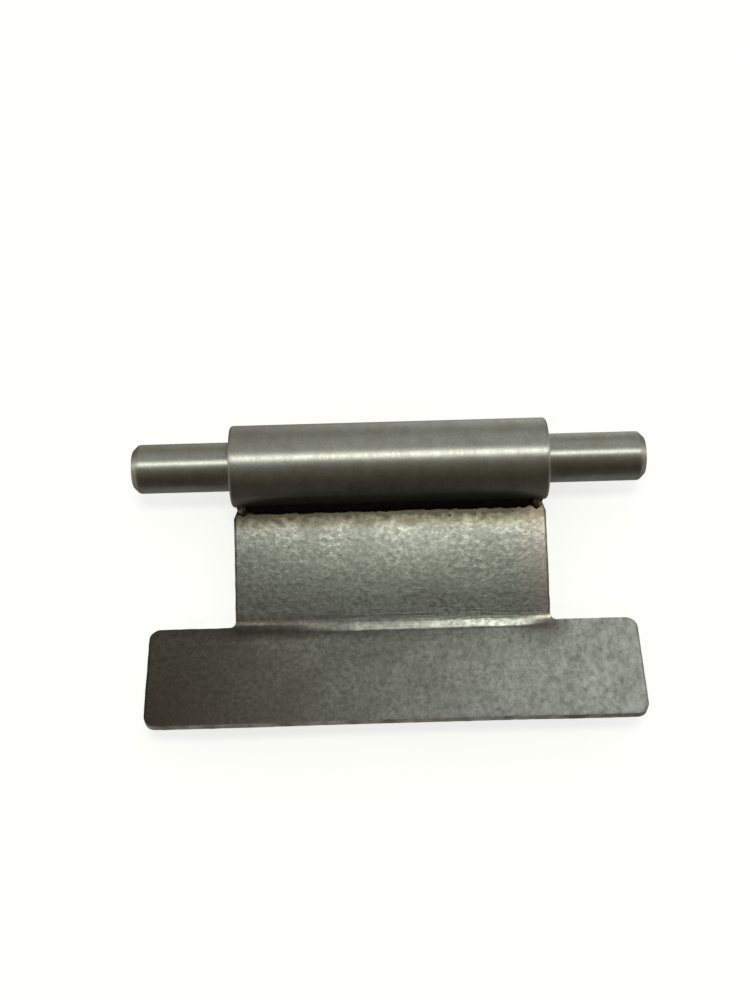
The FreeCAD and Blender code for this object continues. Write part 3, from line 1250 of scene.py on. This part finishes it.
@dataclass
class WeldBead:
    """One run of weld in the corner between the barrel and the neck.

    The section is a fillet with a bulging face; ripples cross it in crescents,
    and its toes wander a little where the puddle ran.
    """

    node: str
    side: Side
    left: float
    right: float
    leg: float
    ripple: float = 0.9
    ripple_height: float = 0.07
    wander: float = 0.16
    bulge: float = 0.16
    spatter: int = 0
    seed: int = 3
    tilt: float = NECK_TILT
    neck_front: float = NECK_FRONT
    neck_rear: float = -3.34
    barrel_radius: float = BARREL_RADIUS
    sunk: float = 0.06
    lump_height: float = 0.08
    step: float = 0.11
    across: int = 12

    def section(self) -> tuple[list[Vector], list[Vector]]:
        """Section of the bead in the upright frame of the leaf.

        Returns:
            Points on the face from neck toe to barrel toe, and points of the root.
        """
        level = self.neck_front if self.side is Side.FRONT else self.neck_rear
        sign = self.side.value
        corner = Vector((-math.sqrt(self.barrel_radius**2 - level**2), level))
        neck_toe = corner + Vector((-self.leg, 0.0))
        start = math.atan2(corner.y, corner.x)
        step = self.leg / self.barrel_radius
        toe_angle = start - sign * step
        barrel_toe = self.barrel_radius * Vector((math.cos(toe_angle), math.sin(toe_angle)))
        chord = barrel_toe - neck_toe
        outward = Vector((-chord.y, chord.x)).normalized()
        if outward.dot(neck_toe - corner) < 0:
            outward = -outward
        face = []
        for i in range(self.across + 1):
            part = i / self.across
            face.append(
                neck_toe + chord * part + outward * self.bulge * math.sin(math.pi * part)
            )
        deep = self.barrel_radius - self.sunk
        inner = start - sign * step * 0.4
        root = [
            deep * Vector((math.cos(toe_angle), math.sin(toe_angle))),
            deep * Vector((math.cos(inner), math.sin(inner))),
            corner + Vector((0.05, -sign * self.sunk)),
            neck_toe + Vector((0.0, -sign * self.sunk)),
        ]
        return face, root

    def build(self) -> Bmesh:
        """Run the section along the seam and work the ripples into its face.

        Returns:
            The bead in millimetres.
        """
        face_points, root_points = self.section()
        shape = bmesh.new()
        ring = [shape.verts.new((self.left, p.x, p.y)) for p in face_points + root_points]
        geom: list = [shape.faces.new(ring)]
        length = self.right - self.left
        count = max(8, round(length / self.step))
        centre = sum(face_points, Vector((0.0, 0.0))) / len(face_points)
        for _ in range(count):
            made = bmesh.ops.extrude_face_region(shape, geom=geom, use_keep_orig=False)
            moved = [g for g in made["geom"] if isinstance(g, bmesh.types.BMVert)]
            geom = [g for g in made["geom"] if isinstance(g, bmesh.types.BMFace)]
            bmesh.ops.translate(shape, verts=moved, vec=(length / count, 0.0, 0.0))
        root = root_points[2]
        for vertex in shape.verts:
            x, flat = vertex.co.x, Vector((vertex.co.y, vertex.co.z))
            nearest = min(
                range(len(face_points)), key=lambda i: (face_points[i] - flat).length
            )
            if (face_points[nearest] - flat).length > 1e-3:
                continue
            part = nearest / self.across
            # Crescent ripples, lumps where the puddle froze, and wandering toes.
            lean = 0.35 * self.ripple * (2 * part - 1) ** 2
            phase = (x + lean) / self.ripple + 0.3 * noise.noise(Vector((x * 0.4, 2.0, 5.0)))
            crest = abs(math.sin(math.pi * phase)) ** 0.6 - 0.6
            inner = math.sin(math.pi * part)
            lump = noise.noise(Vector((x * 1.1, part * 1.5, 9.0)))
            outward = (flat - root).normalized()
            move = inner * (self.ripple_height * crest + self.lump_height * lump)
            toe = self.wander * noise.noise(Vector((x * 1.3, 0.0, 11.0 + self.leg)))
            toe += 0.5 * self.wander * noise.noise(Vector((x * 3.7, 0.0, 23.0 + self.leg)))
            if part < 0.5:
                flat = flat + Vector((-1.0, 0.0)) * toe * (1.0 - 2.0 * part)
            # The bead tapers to a rounded crater at either end.
            end = min(x - self.left, self.right - x) / (0.9 * self.leg)
            if end < 1.0:
                shrink = math.sqrt(max(0.0, 1.0 - (1.0 - end) ** 2))
                flat = root + (flat - root) * (0.45 + 0.55 * shrink)
            flat = flat + outward * move
            vertex.co.y, vertex.co.z = flat.x, flat.y
        self.add_spatter(shape, centre)
        tilt = Matrix.Rotation(math.radians(self.tilt), 3, "X")
        bmesh.ops.rotate(shape, cent=(0, 0, 0), matrix=tilt, verts=shape.verts)
        bmesh.ops.recalc_face_normals(shape, faces=shape.faces)
        return shape

    def add_spatter(self, shape: Bmesh, centre: Vector) -> None:
        """Drop small frozen beads of metal beside the neck toe.

        Args:
            shape: The bead, added to.
            centre: Middle of its section.
        """
        draw = random.Random(self.seed)
        level = self.neck_front if self.side is Side.FRONT else self.neck_rear
        for _ in range(self.spatter):
            radius = draw.uniform(0.05, 0.14)
            x = draw.uniform(self.left + 0.3, self.right - 0.3)
            y = centre.x - self.leg * 0.55 - abs(draw.gauss(0.0, 0.45))
            spot = Matrix.Translation((x, y, level + self.side.value * radius * 0.2))
            squash = Matrix.Diagonal((1.0, draw.uniform(0.8, 1.3), 0.7, 1.0))
            bmesh.ops.create_icosphere(
                shape, subdivisions=2, radius=radius, matrix=spot @ squash
            )

    def dress(self, finish: bpy.types.Material) -> Thing:
        """Write the bead as a piece.

        Args:
            finish: The weld metal.

        Returns:
            The piece.
        """
        name = self.node + "_rippled"
        return write_piece(
            self.build(), name, Body.LEAF, [self.node], finish, sharp=75.0
        )


def make_welds() -> list[WeldBead]:
    """The four runs of weld, with their ends where the CAD model has them.

    Returns:
        Front seam, rear seam and the two end tacks.
    """
    tack = {"leg": 1.75, "bulge": 0.3, "step": 0.06, "ripple": 1.4, "spatter": 3}
    runs = (
        ("front_weld_bead", Side.FRONT, {"leg": 1.3, "spatter": 9, "seed": 3}),
        ("rear_weld_bead", Side.REAR, {"leg": 1.0, "spatter": 8, "seed": 5}),
        ("left_tack_weld", Side.FRONT, {"seed": 8, **tack}),
        ("right_tack_weld", Side.FRONT, {"seed": 9, **tack}),
    )
    welds = []
    for node, side, sizes in runs:
        low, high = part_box(node)
        welds.append(WeldBead(node, side, low.x / MM, high.x / MM, **sizes))
    return welds


@dataclass
class Studio:
    """Pale floor, one soft oval lamp overhead, and a dim room with a light window side.

    The lamp's angles are in degrees from straight above the hinge.
    """

    floor_radius: float = 1.6
    wall_height: float = 0.9
    floor_gap: float = 0.06 * MM
    lamp_distance: float = 1.2
    lamp_back: float = 8.6
    lamp_right: float = 1.5
    lamp_half_wide: float = 11.5
    lamp_half_deep: float = 5.3
    lamp_watts: float = 3.95
    lamp_colour: str = "#fdfff0"
    room_strength: float = 4.0
    floor_glow: float = 0.80
    floor_tone: str = "#f4f4f2"
    floor_matt: str = "#b4b4b2"

    def build_floor(self) -> Thing:
        """A round floor that curves up into a wall, so that no horizon shows.

        Returns:
            The floor object.
        """
        level = CAD_BOX[0].z - self.floor_gap
        cove = 0.45 * self.wall_height
        inner = self.floor_radius - cove
        profile = [(0.0, 0.0), (inner, 0.0)]
        profile += [
            (inner + cove * math.sin(a), cove * (1 - math.cos(a)))
            for a in (math.radians(7.5 * i) for i in range(1, 13))
        ]
        profile.append((self.floor_radius, self.wall_height))
        shape = bmesh.new()
        points = [shape.verts.new((r, 0.0, level + h)) for r, h in profile]
        lines = [shape.edges.new(pair) for pair in zip(points, points[1:])]
        bmesh.ops.spin(
            shape,
            geom=points + lines,
            cent=(0, 0, 0),
            axis=(0, 0, 1),
            angle=math.tau,
            steps=96,
            use_merge=True,
        )
        bmesh.ops.remove_doubles(shape, verts=shape.verts, dist=1e-6)
        bmesh.ops.recalc_face_normals(shape, faces=shape.faces)
        bmesh.ops.reverse_faces(shape, faces=shape.faces)
        for face in shape.faces:
            face.smooth = True
        mesh = bpy.data.meshes.new("floor")
        shape.to_mesh(mesh)
        shape.free()
        floor = bpy.data.objects.new("floor", mesh)
        bpy.context.scene.collection.objects.link(floor)
        material = bpy.data.materials.new("floor_matt_paper")
        material.use_nodes = True
        feed(
            material.node_tree.nodes["Principled BSDF"],
            {
                "Base Color": linear(self.floor_matt),
                "Roughness": 0.9,
                "Emission Color": linear(self.floor_tone),
                "Emission Strength": self.floor_glow,
            },
        )
        mesh.materials.append(material)
        # The metal mirrors the dim room, not the glowing paper.
        floor.visible_glossy = False
        return floor

    def build_lamp(self) -> Thing:
        """An oval lamp almost overhead, a little behind the hinge and wider than deep.

        Returns:
            The lamp object.
        """
        lamp = bpy.data.lights.new("overhead_lamp", "AREA")
        lamp.shape = "ELLIPSE"
        lamp.size = 2 * self.lamp_distance * math.tan(math.radians(self.lamp_half_wide))
        lamp.size_y = 2 * self.lamp_distance * math.tan(math.radians(self.lamp_half_deep))
        lamp.energy = self.lamp_watts
        lamp.color = linear(self.lamp_colour)[:3]
        aim = Vector(
            (
                math.tan(math.radians(self.lamp_right)),
                math.tan(math.radians(self.lamp_back)),
                1.0,
            )
        ).normalized()
        thing = bpy.data.objects.new("overhead_lamp", lamp)
        thing.location = aim * self.lamp_distance
        thing.rotation_mode = "QUATERNION"
        thing.rotation_quaternion = aim.to_track_quat("Z", "Y")
        thing.visible_camera = False
        bpy.context.scene.collection.objects.link(thing)
        return thing

    def build_room(self) -> None:
        """Light the room: dim brown in front, grey overhead, a bright strip at back right."""
        world = bpy.data.worlds.new("room")
        world.use_nodes = True
        bpy.context.scene.world = world
        tree = world.node_tree
        way = add_node(tree, "TexCoord").outputs["Generated"]
        across, back, up = add_node(tree, "SeparateXYZ", {0: way}).outputs
        angle = add_node(tree, "Math", {0: back, 1: up}, operation="ARCTAN2")
        place = add_node(
            tree, "MapRange", {"Value": angle, "From Min": -math.pi, "From Max": math.pi}
        )
        # Degrees from straight up, positive to the back: (angle, level, warmth).
        belt = (
            (-180, 0.20, 0.2), (-125, 0.16, 0.3), (-95, 0.030, 0.8), (-66, 0.040, 1.0),
            (-46, 0.065, 1.0), (-28, 0.09, 0.6), (-10, 0.14, 0.2), (10, 0.20, 0.0),
            (32, 0.26, 0.0), (52, 0.27, 0.0), (82, 0.16, 0.1), (100, 0.19, 0.1),
            (135, 0.19, 0.1), (180, 0.20, 0.2),
        )
        around = add_node(
            tree,
            "ValToRGB",
            {"Fac": place},
            stops=[((d + 180) / 360, tinge(level, warmth)) for d, level, warmth in belt],
        )
        # Strength behind the hinge from left to right: (x of the direction, share, warmth).
        panel = (
            (-1.0, 0.10, 0.8), (-0.16, 0.11, 1.0), (-0.03, 0.38, 0.2), (0.12, 1.1, 0.0),
            (0.22, 1.6, 0.0), (0.34, 0.30, 0.0), (0.5, 0.14, 0.0), (1.0, 0.15, 0.2),
        )
        # The same in front and below, where only the far sides are light.
        wings = (
            (-1.0, 0.9, 0.1), (-0.8, 0.7, 0.1), (-0.58, 0.24, 0.0),
            (0.58, 0.24, 0.0), (0.8, 0.7, 0.1), (1.0, 0.9, 0.1),
        )
        position = add_node(tree, "MapRange", {"Value": across, "From Min": -1.0})
        sideways, ahead = (
            add_node(
                tree,
                "ValToRGB",
                {"Fac": position},
                stops=[((x + 1) / 2, tinge(level, warmth)) for x, level, warmth in row],
            )
            for row in (panel, wings)
        )
        behind = add_node(
            tree, "MapRange", {"Value": back, "From Min": 0.3, "From Max": 0.75}
        )
        share = add_node(
            tree, "Mix", {"Factor": behind, MIX_A: ahead, MIX_B: sideways}, data_type="RGBA"
        )
        colour = add_node(
            tree,
            "Mix",
            {"Factor": 1.0, MIX_A: around, MIX_B: share},
            data_type="RGBA",
            blend_type="MULTIPLY",
        )
        feed(tree.nodes["Background"], {"Color": colour, "Strength": self.room_strength})

    def build(self) -> None:
        """Build floor, lamp and room."""
        self.build_floor()
        self.build_lamp()
        self.build_room()


@dataclass
class Viewpoint:
    """Camera close above the hinge, looking down a little from the front."""

    lens: float = 52.0
    elevation: float = 78.0
    roll: float = -1.6
    place: tuple[float, float, float] = (-1.8, -41.2, 172.0)

    def build(self) -> Thing:
        """Place the camera and make it the scene's own.

        Returns:
            The camera object.
        """
        camera = bpy.data.cameras.new("camera")
        camera.lens = self.lens
        camera.sensor_width = 36.0
        camera.clip_start = 0.01
        camera.clip_end = 20.0
        thing = bpy.data.objects.new("camera", camera)
        tip = math.radians(90.0 - self.elevation)
        turn = Matrix.Rotation(tip, 4, "X") @ Matrix.Rotation(
            math.radians(self.roll), 4, "Z"
        )
        thing.matrix_world = Matrix.Translation(Vector(self.place) * MM) @ turn
        bpy.context.scene.collection.objects.link(thing)
        bpy.context.scene.camera = thing
        return thing


def main() -> None:
    """Build the studio and the hinge."""
    logging.basicConfig(level=logging.INFO, format="%(name)s: %(message)s")
    bpy.context.scene.view_settings.view_transform = "Standard"
    Viewpoint().build()
    Studio().build()
    HingePin().dress()
    BarrelTube().dress()
    LeafPlate().dress()
    bead_metal, tack_metal = WELD_METAL.make(), TACK_METAL.make()
    for weld in make_welds():
        weld.dress(tack_metal if "tack" in weld.node else bead_metal)


if __name__ == "__main__":
    main()
